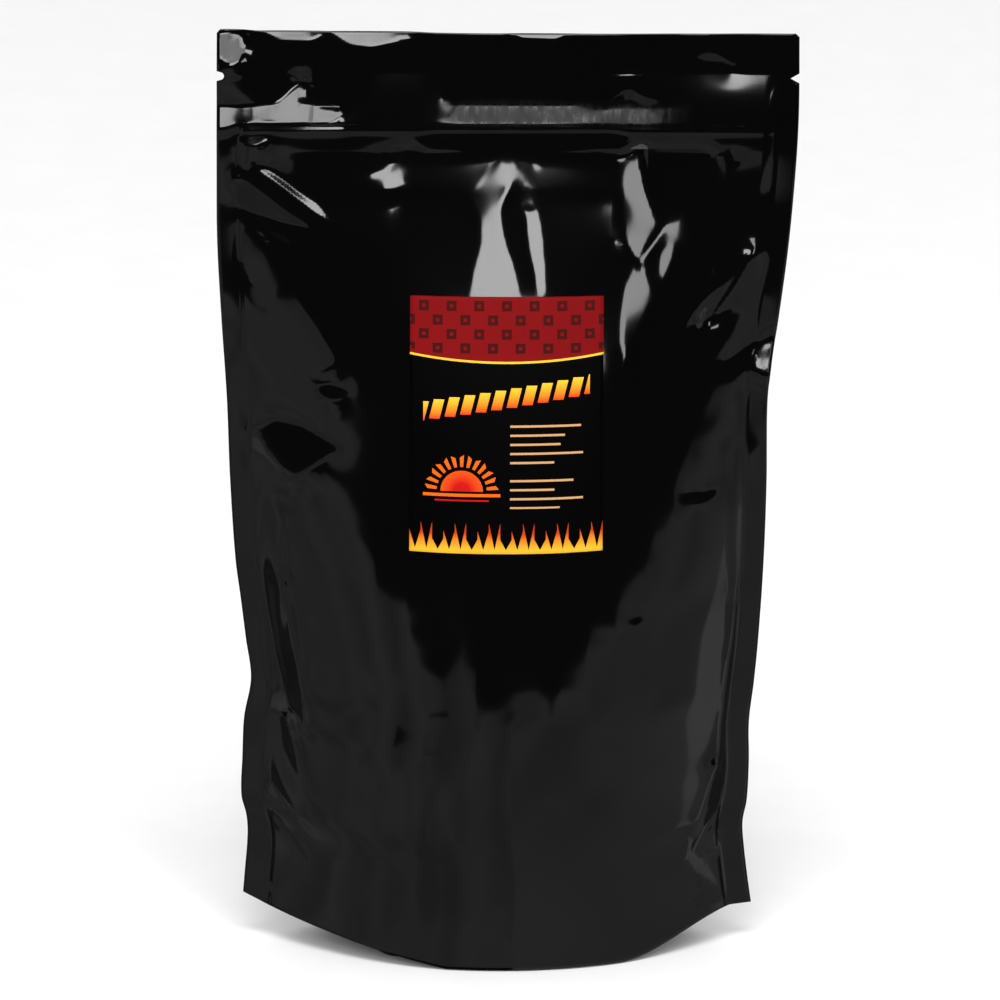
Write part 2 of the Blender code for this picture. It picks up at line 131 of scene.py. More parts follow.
# Folds in mm: from x, z to x, z, half width at each end, height at each end, and how sharp the crest is
FRONT_FOLDS_MM = (
    # The lower left
    (-99, 150, -84, 88, 3, 5, -2.2, -1.0, 1),
    (-88, 150, -78, 92, 4, 5, 1.6, 1.4, 1),
    (-86, 92, -78, 60, 3, 5, 1.8, 0.6, 1),
    (-98, 66, -76, 40, 4, 6, -1.6, -0.5, 1),
    # The lower right
    (92, 140, 84, 70, 4, 5, 1.4, 1.4, 1),
    (84, 70, 72, 32, 4, 5, 1.6, 0.5, 1),
    (90, 56, 82, 34, 3, 4, -1.8, -1.0, 0),
    (96, 112, 86, 96, 4, 5, -1.6, -0.4, 1),
)
BACK_FOLDS_MM = (
    (101, 324, 64, 296, 3.5, 5, 2.2, 0.6, 1),
    (104, 316, 72, 288, 5, 7, -2.2, -0.8, 0),
    (12, 326, 4, 262, 12, 14, 1.2, 1.4, 0),
    (26, 318, 22, 270, 6, 9, -1.0, -1.6, 0),
    (-48, 326, -56, 276, 9, 12, 1.4, 1.2, 0),
    (-104, 300, -78, 262, 4, 7, -1.6, -0.6, 1),
    (-106, 258, -82, 230, 3, 6, 1.6, 0.4, 1),
    (-96, 140, -84, 80, 4, 5, 1.8, 1.2, 1),
    (-92, 76, -74, 40, 4, 6, -1.6, -0.6, 1),
    (94, 150, 82, 92, 3, 5, -2.0, -1.0, 1),
    (88, 140, 78, 84, 4, 5, 1.6, 1.2, 1),
    (90, 80, 72, 44, 4, 6, 1.6, 0.5, 1),
    (104, 236, 80, 206, 5, 8, -1.8, -0.6, 0),
)

# The camera: degrees above the level, metres away, and degrees of roll
CAMERA_ELEVATION, CAMERA_DISTANCE, CAMERA_ROLL = 18, 8, 0.25
CAMERA_TARGET = Vector((-0.0024, 0, 0.1826))
LENS, SENSOR, PHOTO_WIDTH = 728, 36, 1000

# Directions (azimuth, elevation in degrees) that a facet of the film can mirror; without one of the two,
# the facet turns the other way only
WINDOW, DIM_WINDOW, LEFT_WINDOW, RIGHT_WINDOW = (0, 19.5), (0, 29), (-7, 28), (20.5, 14)
TALL_GLINT, RIGHT_GLINT, SMALL_GLINT = (0, None), (21, None), (0.5, 17)
# Beside the windows, straight ahead, and down at the table
BESIDE, GAP, WIDE_GAP, BEYOND, AHEAD = (-8, None), (9, None), (12, None), (30, None), (0, -6)
TABLE, LOW_LEFT, LEFT_AHEAD, NEAR_TABLE = (0, -36), (-28, -39), (-12, -8), (None, -15.5)
# What stands in for the one that such a direction lacks
USUAL_AZIMUTH, USUAL_ELEVATION = -28, 14
# Or the slopes along x and z that a facet adds to the film's own
HOLD, WEDGE, WEDGE_FOOT = ("add", 0, 0), ("add", 0.11, 0.03), ("add", 0.05, 0.01)
UP, LEFT_IN, RIGHT_IN, LEFT_OUT = ("add", 0, -0.24), ("add", -0.4, 0), ("add", 0.4, 0), ("add", 0.2, 0)
# The facets that the crumpled film shows: what each mirrors, and its outline in the photo's pixels
FACETS = (
    # The top edge and its left corner
    (DIM_WINDOW, ((222, 35), (241, 35), (240, 62), (228, 66), (221, 60))),
    (WINDOW, ((262, 32), (325, 32), (312, 41), (276, 40))),
    (WINDOW, ((328, 32), (415, 32), (396, 42), (372, 47), (345, 44))),
    (WINDOW, ((508, 32), (574, 32), (556, 39), (522, 38))),
    # Along the zip
    (AHEAD, ((430, 134), (620, 134), (620, 149), (430, 149))),
    (
        LEFT_WINDOW,
        (
            *((218, 107), (255, 110), (278, 103), (292, 90), (301, 83), (306, 88), (301, 103)),
            *((311, 104), (321, 110), (342, 114), (330, 123), (242, 124), (219, 130)),
        ),
    ),
    (WINDOW, ((242, 126), (345, 127), (345, 130), (242, 130))),
    (DIM_WINDOW, ((452, 112), (470, 110), (590, 110), (584, 118), (574, 122), (455, 123))),
    (AHEAD, ((606, 92), (618, 76), (644, 76), (668, 96), (668, 108), (596, 108))),
    (TABLE, ((600, 109), (614, 98), (622, 88), (632, 86), (641, 95), (662, 102), (645, 109), (630, 99))),
    (TABLE, ((697, 57), (708, 51), (722, 54), (737, 65), (733, 68), (718, 61), (700, 61))),
    # Below the left end of the zip
    (WINDOW, ((243, 136), (269, 135), (267, 141), (255, 146), (244, 144))),
    (LOW_LEFT, ((240, 176), (262, 192), (285, 210), (309, 227), (283, 223), (248, 212), (239, 204))),
    (
        LEFT_AHEAD,
        (
            *((250, 168), (261, 176), (277, 188), (294, 201), (309, 212), (328, 226)),
            *((318, 229), (300, 220), (280, 206), (262, 190), (246, 176)),
        ),
    ),
    (
        WINDOW,
        (
            *((254, 165), (270, 169), (284, 178), (300, 190), (318, 203), (337, 226)),
            *((328, 222), (309, 209), (294, 198), (277, 185), (261, 174)),
        ),
    ),
    (LEFT_AHEAD, ((239, 208), (250, 214), (284, 224), (312, 229), (300, 236), (270, 228), (245, 219))),
    (WINDOW, ((262, 227), (279, 231), (297, 244), (284, 243), (268, 236))),
    (
        SMALL_GLINT,
        ((408, 150), (405, 162), (397, 177), (390, 196), (383, 187), (377, 174), (390, 167), (399, 154)),
    ),
    # The left side
    (
        WEDGE,
        ((241, 230), (252, 235), (262, 243), (274, 262), (284, 286), (270, 300), (252, 285), (242, 262)),
    ),
    (
        WEDGE_FOOT,
        ((284, 286), (300, 307), (318, 332), (336, 362), (320, 372), (292, 345), (268, 312), (270, 300)),
    ),
    (UP, ((256, 428), (274, 419), (299, 425), (334, 445), (331, 452), (294, 478), (279, 467), (267, 454))),
    (UP, ((320, 386), (330, 384), (342, 390), (340, 399), (326, 398))),
    (
        LEFT_OUT,
        ((262, 489), (275, 505), (284, 526), (276, 552), (279, 640), (270, 700), (264, 640), (262, 560)),
    ),
    (LEFT_IN, ((282, 520), (286, 533), (288, 560), (285, 620), (291, 690), (279, 600))),
    (NEAR_TABLE, ((380, 720), (452, 722), (452, 750), (380, 748))),
    # The tall glints under the middle of the zip
    (
        BESIDE,
        (
            *((404, 157), (505, 146), (490, 168), (470, 199), (480, 220)),
            *((482, 242), (473, 273), (470, 298), (404, 298)),
        ),
    ),
    (GAP, ((511, 146), (612, 152), (612, 250), (600, 300), (511, 298))),
    (WIDE_GAP, ((600, 262), (624, 262), (624, 372), (606, 372), (600, 345))),
    (HOLD, ((650, 150), (706, 150), (706, 226), (662, 226))),
    (
        BEYOND,
        ((664, 226), (702, 226), (714, 262), (702, 300), (664, 345), (636, 345), (644, 300), (641, 262)),
    ),
    (TALL_GLINT, ((478, 212), (504, 212), (511, 250), (520, 298), (470, 298), (473, 273), (482, 242))),
    (WINDOW, ((508, 142), (524, 170), (535, 200), (538, 214), (476, 214), (470, 199), (490, 168))),
    (TALL_GLINT, ((524, 205), (538, 205), (543, 242), (546, 294), (538, 294), (535, 273), (529, 250))),
    (
        WIDE_GAP,
        (
            *((511, 182), (520, 190), (525, 211), (528, 250), (534, 273), (535, 292)),
            *((526, 290), (521, 273), (508, 250), (502, 227), (502, 204)),
        ),
    ),
    (TALL_GLINT, ((534, 162), (538, 153), (544, 155), (541, 163), (536, 167))),
    (
        RIGHT_WINDOW,
        (
            *((642, 148), (620, 164), (615, 190), (617, 225), (626, 244), (637, 260)),
            *((647, 243), (660, 227), (653, 209), (647, 192), (643, 172)),
        ),
    ),
    (
        RIGHT_GLINT,
        ((632, 264), (623, 288), (622, 330), (625, 348), (636, 338), (645, 318), (656, 296), (643, 270)),
    ),
    (RIGHT_GLINT, ((671, 243), (661, 252), (657, 272), (662, 284), (669, 268), (674, 256))),
    (RIGHT_GLINT, ((725, 155), (730, 154), (732, 163), (727, 163))),
    # The right edge
    (TABLE, ((757, 250), (750, 262), (735, 290), (716, 318), (706, 326), (712, 310), (730, 282), (745, 260))),
    (WINDOW, ((774, 336), (753, 350), (757, 372), (768, 375), (774, 360))),
    (WINDOW, ((731, 361), (752, 345), (752, 349), (733, 364))),
    (UP, ((690, 493), (700, 498), (712, 491), (710, 498), (700, 503), (692, 500))),
    (UP, ((634, 618), (640, 617), (641, 624), (636, 625))),
    (RIGHT_IN, ((730, 446), (733, 446), (734, 726), (731, 726))),
)
# The rim of what the film mirrors as black: the dark room between the grey wall and the grey table
RIM = (
    *((361, 538), (370, 554), (374, 560), (378, 588), (406, 603), (415, 643), (443, 681), (461, 655)),
    *((475, 686), (477, 714), (508, 710), (516, 694), (536, 690), (552, 712), (562, 690), (585, 659)),
    *((589, 641), (615, 627), (619, 603), (648, 569), (651, 546), (666, 526), (675, 506), (679, 476)),
    *((688, 452), (711, 430)),
)
# Up to this point the rim bounds the wall at the left, and from it on the table
RIM_MIDDLE = 11
# The wall's rim beside the pouch's own edge, as azimuths and elevations in degrees
LEFT_RIM = ((-36.5, -36.5, -42, -48), (7, -1, -6, -10.5))
# The walls, on spheres round the camera's target: how far they reach in degrees, from which elevation, and
# the shares of the way outwards that their rows have
ROOM_RADIUS, FAR_ROOM_RADIUS = 1.4, 1.45
WALL_TURN, FAR_WALL_TURN, WALL_TILT, WALL_MIDDLE = 94, 125, 80, 15
WALL_SHARES = (0, 0.12, 0.35, 0.65, 1)
# The table goes on at the right, as fans just under the floor: from and to which azimuth, in how many
# points, and how far a ray may run to meet it. Then how far the fans and the floor lie under the pouch
TABLE_TURN, FAR_TABLE_TURN, TABLE_STEPS, TABLE_REACH = (75, 97), (97, 150), 6, 2.5
TABLE_DROP, FAR_TABLE_DROP, FLOOR_DROP = 0.0007, 0.0008, 0.0006
# Half of the floor's width
FLOOR_HALF = 12

# The facets' fit: how firmly a facet holds its slopes, how far in mm it is felt beyond its outline, how
# wide its border is, and how many steps the fit takes
FACET_GRIP, FACET_REACH_MM, FACET_BORDER_MM, FIT_STEPS = 45, 11, 0.8, 900
# How much a facet frees the film, and how firmly the film stays put under the label (with a margin at the
# sides and foot, and one at the top), along the zip and on the side seals
FACET_FREES = 0.9
LABEL_PIN, LABEL_MARGIN_MM, LABEL_TOP_MARGIN_MM = 50, 1.5, 1
ZIP_PIN, ZIP_PIN_FROM, ZIP_PIN_TO = 0.4, -6, 3.4
SEAL_PIN, SEAL_PIN_TOP_MM = 0.1, 340
# Where the back film follows the facets: from a share of the width to the seals, and up to the top seal
WELDED_SHARE, TOP_WELD_FROM, TOP_WELD_FULL = 0.86, 338 * MM, 346 * MM
# The steps in which a pixel's ray finds the film, and the distance over which its slope is taken
AIM_STEPS, SLOPE_STEP = 12, 1.5 * MM

# The soft boxes: azimuth, elevation, distance, size and power
SOFT_BOXES = {
    "window_low": (0, 16.7, 2.6, (0.3, 0.585), 5.7),
    "left_window": (-8.5, 27.5, 2.6, (0.36, 0.3), 2.8),
    "window_high": (0, 28.5, 2.6, (0.3, 0.44), 1.7),
    "right_window": (21.5, 14, 2.6, (0.28, 0.9), 5),
    "overhead": (0, 62, 1.8, (1.3, 0.8), 22),
}
SOFT_BOX_TARGET = Vector((0, 0, 0.28))


def ease(low, high, x):
    share = np.clip((x - low) / (high - low), 0, 1)
    return share * share * (3 - 2 * share)


def along(stations_mm, height):
    """The value of a smooth curve through (height, value) stations in mm, at heights in metres."""
    z, v = np.array(stations_mm, float).T
    slopes = np.empty(len(z))
    slopes[1:-1] = (v[2:] - v[:-2]) / (z[2:] - z[:-2])
    slopes[0], slopes[-1] = (v[1] - v[0]) / (z[1] - z[0]), (v[-1] - v[-2]) / (z[-1] - z[-2])
    at = np.clip(np.asarray(height) / MM, z[0], z[-1])
    i = np.clip(np.searchsorted(z, at, side="right") - 1, 0, len(z) - 2)
    span = z[i + 1] - z[i]
    s = (at - z[i]) / span
    value = (
        (2 * s**3 - 3 * s**2 + 1) * v[i]
        + (s**3 - 2 * s**2 + s) * span * slopes[i]
        + (3 * s**2 - 2 * s**3) * v[i + 1]
        + (s**3 - s**2) * span * slopes[i + 1]
    )
    return value * MM


def folds(folds_mm, x, z):
    """How far the folds push the film outwards, in metres. A sharp fold has a crest, a soft one is round."""
    total = np.zeros_like(x)
    for x0, z0, x1, z1, w0, w1, h0, h1, sharp in folds_mm:
        dx, dz = x1 - x0, z1 - z0
        px, pz = x / MM - x0, z / MM - z0
        t = np.clip((px * dx + pz * dz) / (dx * dx + dz * dz), 0, 1)
        r = np.hypot(px - t * dx, pz - t * dz) / (w0 + (w1 - w0) * t)
        sharp_crest = np.exp(-FOLD_FALL * (np.sqrt(r * r + FOLD_ROUNDING) - FOLD_CREST))
        crest = sharp_crest if sharp else np.exp(-r * r)
        total += (h0 + (h1 - h0) * t) * crest
    return total * MM


def section(z0):
    left = along(LEFT_EDGE_MM, z0) + SIDE_SEAL
    right = along(RIGHT_EDGE_MM, z0) - SIDE_SEAL
    return (left + right) / 2, (right - left) / 2


def corner_share(across):
    """How much of the corner's lift a point has, from 0 on the foot to 1 at a side seal."""
    left = np.clip(-across - LEFT_FOOT, 0, None) / (1 - LEFT_FOOT)
    return np.where(across < 0, left, ease(RIGHT_FOOT, RIGHT_CREST, across))


def lift(column, z0):
    across = np.clip(column, -1, 1)
    corner = np.where(across < 0, LEFT_LIFT, RIGHT_LIFT) * corner_share(across)
    corner = corner + LEFT_SEAL_RISE * np.clip(-1 - column, 0, 1)
    return corner * np.clip(1 - z0 / LIFT_FADES_AT, 0, 1) ** 2


def seam_wave(across, z0):
    share = np.clip((z0 - SEAM_WAVE_FROM) / (SEAM_WAVE_TO - SEAM_WAVE_FROM), 0, 1)
    phase = np.where(across < 0, LEFT_SEAM_PHASE, RIGHT_SEAM_PHASE)
    wave = np.sin(2 * math.pi * z0 / SEAM_WAVE_LENGTH + phase)
    return SEAM_WAVE * wave * np.sin(math.pi * share) * np.abs(across) ** 4


def header_wave(x, z0):
    """How far the header above the zip waves and curls back."""
    up = ease(ZIP_HEIGHT + ZIP_HALF_BAND, STANDING_HEIGHT, z0)
    wave = HEADER_WAVE * np.cos(2 * math.pi * (x - HEADER_CREST) / HEADER_WAVE_LENGTH)
    return (wave + HEADER_CURL) * up


def zip_relief(across, z0):
    """The film drawn over the zip: a flat over the flange, a ridge over the tracks and a slope above."""
    up = (z0 - ZIP_HEIGHT) / MM
    reach = np.interp(across, *zip(*LEDGE))
    flat = FLAT_MM * ease(FLAT_FROM, FLAT_FULL, up) * np.clip(1 - (up - FLANGE_TOP) / reach, 0, 1)
    ridge = sum(height * np.exp(-(((up - at) / wide) ** 2)) for height, at, wide in TRACKS_MM)
    ends = ZIP_END + (1 - ZIP_END) * np.clip((1 - np.abs(across)) / ZIP_END_WIDTH, 0, 1)
    return np.clip(flat + ridge, 0, None) * ends * MM


def film_noise(kind, x, z0, offset=(0, 0, 0)):
    """One kind of noise at a point of the film, in mm."""
    height, wide, tall, layer = kind
    return height * noise.noise(Vector((x / (wide * MM), z0 / (tall * MM), layer)) + Vector(offset))


def undulation(x, z0, seed):
    """Gentle lumps where the contents press against the film, and finer ones in the film itself."""
    offset = [seed * part for part in SEED_STEP]
    out = [
        film_noise(LUMPS, px, pz, offset) + film_noise(FINE_LUMPS, px, pz, offset)
        for px, pz in zip(x.ravel(), z0.ravel())
    ]
    return np.array(out).reshape(x.shape) * MM


def crinkle(x, z0):
    """Fine upright crinkles, in millimetres, where the film is drawn over the zip's upper edge."""
    out = np.zeros(x.shape)
    rise = (z0 - ZIP_HEIGHT) / MM
    for i in np.argwhere((rise > CRINKLE_FROM) & (rise < CRINKLE_TO)):
        at = tuple(i)
        out[at] = film_noise(CRINKLES, x[at], z0[at])
    return out * ease(CRINKLE_FROM, CRINKLE_FULL, rise) * (1 - ease(CRINKLE_FADE, CRINKLE_TO, rise))


def seal_lean(column, z0):
    """How far a side seal leans back towards its outer edge."""
    out = np.clip(np.abs(column) - 1, 0, 1) * SIDE_SEAL
    top = np.where(column < 0, LEFT_LEAN_TOP, RIGHT_LEAN_TOP)
    return SEAL_LEAN * out * (1 - ease(top - SEAL_LEAN_FADE, top, z0))


# The relief that solve_facets finds, on the front film's own grid
FACET_GRID = {}


def facet_relief(side, column, z0):
    """How far the facets push the film forwards. The back film follows only where the two are welded."""
    if not FACET_GRID:
        return 0
    columns, rows, relief = FACET_GRID["columns"], FACET_GRID["rows"], FACET_GRID["relief"]
    i = np.interp(z0, rows, np.arange(len(rows)))
    j = np.interp(column, columns, np.arange(len(columns)))
    i0, j0 = np.minimum(i.astype(int), len(rows) - 2), np.minimum(j.astype(int), len(columns) - 2)
    u, v = i - i0, j - j0
    low = relief[i0, j0] * (1 - v) + relief[i0, j0 + 1] * v
    high = relief[i0 + 1, j0] * (1 - v) + relief[i0 + 1, j0 + 1] * v
    found = low * (1 - u) + high * u
    if side > 0:
        at_side, at_top = ease(WELDED_SHARE, 1, np.abs(column)), ease(TOP_WELD_FROM, TOP_WELD_FULL, z0)
        found = found * np.maximum(at_side, at_top)
    return found


def film_surface(side, column, z0, seed):
    """Points of a panel's outer face."""
    across = np.clip(column, -1, 1)
    middle, half = section(z0)
    up = z0 - NOTCH_HEIGHT
    scoop = np.sqrt(np.clip(ROUND_NOTCH_RADIUS**2 - up**2, 0, None))
    round_cut = np.where(
        np.abs(up) < ROUND_NOTCH_RADIUS, scoop + ROUND_NOTCH_DEPTH - ROUND_NOTCH_RADIUS, 0
    )
    pointed_cut = POINTED_NOTCH_DEPTH * np.clip(1 - np.abs(up) / POINTED_NOTCH_HALF, 0, 1)
    cut = np.where(column < 0, round_cut, pointed_cut)
    x = middle + across * half + (column - across) * (SIDE_SEAL - cut)
    middle_bulge = along(BULGE_MM, z0)
    bulge = middle_bulge * (1 - np.abs(across) ** SECTION_POWER)
    relief = folds(FRONT_FOLDS_MM if side < 0 else BACK_FOLDS_MM, x, z0)
    relief += undulation(x, z0, seed) * ease(0, LUMPS_FULL_AT, middle_bulge)
    relief *= ease(0, FOLDS_FULL_AT, bulge)
    depth = SEAL_HALF + np.maximum(bulge + relief, 0) + zip_relief(across, z0)
    y = side * depth + seam_wave(across, z0) + header_wave(x, z0) + seal_lean(column, z0)
    y -= facet_relief(side, column, z0)
    z = z0 + lift(column, z0)
    return np.stack([x, y, z], axis=-1)


def weld_height(across):
    return WELD_LOW + WELD_HIGH * np.abs(across) ** 3


def add_object(name, data):
    made = bpy.data.objects.new(name, data)
    bpy.context.scene.collection.objects.link(made)
    return made


def grid_object(name, points, material, turned=False, thickness=0.0, uv=None):
    """A smooth quad grid from an array of points, with the thickness laid behind its outer face."""
    rows, columns = points.shape[:2]
    index = np.arange(rows * columns).reshape(rows, columns)
    quads = np.stack([index[:-1, :-1], index[:-1, 1:], index[1:, 1:], index[1:, :-1]], axis=-1)
    quads = quads.reshape(-1, 4)
    if turned:
        quads = quads[:, ::-1]
    mesh = bpy.data.meshes.new(name)
    mesh.from_pydata(points.reshape(-1, 3).tolist(), [], quads.tolist())
    mesh.update()
    if uv is not None:
        layer = mesh.uv_layers.new(name="flat")
        corners = np.array([loop.vertex_index for loop in mesh.loops])
        layer.data.foreach_set("uv", uv.reshape(-1, 2)[corners].ravel())
    made = add_object(name, mesh)
    mesh.materials.append(material)
    if thickness:
        solid = made.modifiers.new("Thickness", "SOLIDIFY")
        solid.thickness = thickness
        solid.offset = -1
    mesh.shade_smooth()
    mesh.set_sharp_from_angle(angle=math.radians(SHARP_ANGLE))
    return made


def spaced(marks):
    """Values from the first mark to the last, each stretch at its own spacing: (from, step) pairs."""
    values = [marks[0][0]]
    for (low, step), (high, _) in zip(marks, marks[1:]):
        count = max(int(round((high - low) / step)), 1)
        values += list(np.linspace(low, high, count + 1)[1:])
    return np.array(values)


def film_columns():
    """Shares across the film, closer together where it is creased most."""
    marks = [(-1, 0.0125), (-0.5, 0.025), (-0.17, 0.011), (0.2, 0.025), (0.45, 0.0125), (1, 0)]
    seal = 1 + np.arange(1, SEAL_COLUMNS + 1) / SEAL_COLUMNS
    return np.concatenate([-seal[::-1], spaced(marks), seal])


def film_rows():
    """Flat heights of the rows, closest over the zip, at the notches and at the top edge."""
    marks = [
        (0, 1.7),
        (110, 2),
        (180, 1.4),
        (262, 1.05),
        (322, 0.55),
        (346, 1),
        (NOTCH_HEIGHT / MM - 2.4, 0.3),
        (NOTCH_HEIGHT / MM + 2.4, 1.2),
        (STANDING_HEIGHT / MM - 6, 0.6),
        (STANDING_HEIGHT / MM, 0),
    ]
    return spaced(marks) * MM


def column_at(x, z0):
    """The film's column at x: -1 to 1 between the seals, and up to 2 at an outer edge."""
    middle, half = section(z0)
    off = x - middle
    past = np.clip(np.abs(off) - half, 0, SIDE_SEAL) / SIDE_SEAL
    return np.clip(off / half, -1, 1) + np.sign(off) * past


def camera_pose():
    elevation = math.radians(CAMERA_ELEVATION)
    away = Vector((0, -math.cos(elevation), math.sin(elevation)))
    tilt = Euler((math.pi / 2 - elevation, 0, 0)).to_quaternion()
    turn = tilt @ Euler((0, 0, math.radians(CAMERA_ROLL))).to_quaternion()
    return CAMERA_TARGET + away * CAMERA_DISTANCE, turn


def film_at(pixels):
    """Where pixels of the photograph meet the front film: x and flat height in mm."""
    location, turn = camera_pose()
    px = (np.array(pixels, float) - PHOTO_WIDTH / 2) * SENSOR / PHOTO_WIDTH
    rays = np.stack([px[:, 0], -px[:, 1], np.full(len(px), -LENS)], axis=-1)
    rays = rays @ np.array(turn.to_matrix()).T
    y, z0 = np.zeros(len(px)), None
    for _ in range(AIM_STEPS):
        reach = (y - location.y) / rays[:, 1]
        x, z = location.x + reach * rays[:, 0], location.z + reach * rays[:, 2]
        z0 = z if z0 is None else z - lift(column_at(x, z0), z0)
        y = film_surface(-1, column_at(x, z0), z0, 1)[:, 1]
    return np.stack([x, z0], axis=-1) / MM


def coverage(outline, x, z):
    """1 inside an outline and 0 outside it, in mm, with a border less than 1 mm wide."""
    near, inside = np.full(x.shape, 1e6), np.zeros(x.shape, bool)
    for (x0, z0), (x1, z1) in zip(outline, np.roll(outline, -1, axis=0)):
        dx, dz = x1 - x0, z1 - z0
        t = np.clip(((x - x0) * dx + (z - z0) * dz) / (dx * dx + dz * dz + 1e-9), 0, 1)
        near = np.minimum(near, np.hypot(x - x0 - t * dx, z - z0 - t * dz))
        crosses = ((z0 > z) != (z1 > z)) & (x < x0 + (z - z0) * dx / (dz + 1e-9))
        inside ^= crosses
    return np.clip(0.5 + np.where(inside, near, -near) / FACET_BORDER_MM, 0, 1)


def mirror_slopes(azimuth, elevation):
    """The depth's slopes along x and z where the film mirrors a direction to the camera."""
    a, e, c = math.radians(azimuth), math.radians(elevation), math.radians(CAMERA_ELEVATION)
    seen = Vector((math.sin(a) * math.cos(e), -math.cos(a) * math.cos(e), math.sin(e)))
    normal = seen + Vector((0, -math.cos(c), math.sin(c)))
    return normal.x / normal.y, normal.z / normal.y


def solve_facets():
    """Fit the film's relief to the slopes of its facets, by least squares on the film's own grid."""
    columns, rows = film_columns(), film_rows()
    column, z0 = np.meshgrid(columns, rows)
    points = film_surface(-1, column, z0, 1)
    x, z, depth = points[..., 0] / MM, z0 / MM, -points[..., 1] / MM
    step_x, step_z = np.diff(x, axis=1), np.diff(z, axis=0)
    slope_x, slope_z = np.diff(depth, axis=1) / step_x, np.diff(depth, axis=0) / step_z
    grip_x, grip_z = np.ones_like(step_x), np.ones_like(step_z)
    want_x, want_z = np.zeros_like(step_x), np.zeros_like(step_z)
    pin = np.full(x.shape, FACET_REACH_MM**-2.0)
    for direction, pixels in FACETS:
        share = coverage(film_at(pixels), x, z)
        share_x, share_z = (share[:, 1:] + share[:, :-1]) / 2, (share[1:] + share[:-1]) / 2
        if direction[0] == "add":
            add_x, add_z = direction[1:]
        else:
            turn, level = (angle is not None for angle in direction)
            azimuth = direction[0] if turn else USUAL_AZIMUTH
            elevation = direction[1] if level else USUAL_ELEVATION
            along_x, along_z = mirror_slopes(azimuth, elevation)
            add_x, add_z = (along_x - slope_x) * turn, (along_z - slope_z) * level
        want_x += share_x * (add_x - want_x)
        want_z += share_z * (add_z - want_z)
        grip_x += share_x * (FACET_GRIP - grip_x)
        grip_z += share_z * (FACET_GRIP - grip_z)
        pin *= 1 - FACET_FREES * share
    beside = np.abs(x) < LABEL_HALF_WIDTH / MM + LABEL_MARGIN_MM
    above, below = z > LABEL_BOTTOM / MM - LABEL_MARGIN_MM, z < LABEL_TOP / MM + LABEL_TOP_MARGIN_MM
    pin[beside & above & below] = LABEL_PIN
    up = z - ZIP_HEIGHT / MM
    pin[(up > ZIP_PIN_FROM) & (up < ZIP_PIN_TO)] += ZIP_PIN
    pin[(np.abs(column) > 1) & (z < SEAL_PIN_TOP_MM)] += SEAL_PIN

    size_x = np.gradient(x, axis=1)
    size_z = np.gradient(z, axis=0)
    tie_x = grip_x * (size_z[:, 1:] + size_z[:, :-1]) / 2 / step_x
    tie_z = grip_z * (size_x[1:] + size_x[:-1]) / 2 / step_z
    pin = pin * size_x * size_z

    def spread(along_x, along_z):
        """What the ties between neighbours add up to at each point."""
        out = np.zeros_like(x)
        out[:, 1:] += along_x
        out[:, :-1] -= along_x
        out[1:] += along_z
        out[:-1] -= along_z
        return out

    def pulled(h):
        """How ties and pins pull at a relief."""
        return spread(tie_x * np.diff(h, axis=1), tie_z * np.diff(h, axis=0)) + pin * h

    diagonal = pin.copy()
    diagonal[:, 1:] += tie_x
    diagonal[:, :-1] += tie_x
    diagonal[1:] += tie_z
    diagonal[:-1] += tie_z
    relief = np.zeros_like(x)
    rest = spread(tie_x * step_x * want_x, tie_z * step_z * want_z)
    eased = rest / diagonal
    move, power = eased.copy(), (rest * eased).sum()
    # Conjugate gradients
    for _ in range(FIT_STEPS):
        pull = pulled(move)
        length = power / (move * pull).sum()
        relief += length * move
        rest -= length * pull
        eased = rest / diagonal
        fresh = (rest * eased).sum()
        move = eased + move * fresh / power
        power = fresh
    relief += crinkle(points[..., 0], z0) * ease(0, CRINKLE_END_WIDTH, 1 - np.abs(column))
    FACET_GRID.update(columns=columns, rows=rows, relief=relief * MM)


def film_panel(name, side, material, seed):
    columns, rows = np.meshgrid(film_columns(), film_rows())
    points = film_surface(side, columns, rows, seed)
    reach = np.clip((np.abs(columns) - 1) * SIDE_SEAL - (SIDE_SEAL - CORNER_CUT), 0, None)
    top_drop = CORNER_CUT - np.sqrt(np.clip(CORNER_CUT**2 - reach**2, 0, None))
    points[..., 2] -= top_drop * ease(STANDING_HEIGHT - TOP_CORNER_ROWS, STANDING_HEIGHT, rows)
    return grid_object(name, points, material, turned=side > 0, thickness=FILM)


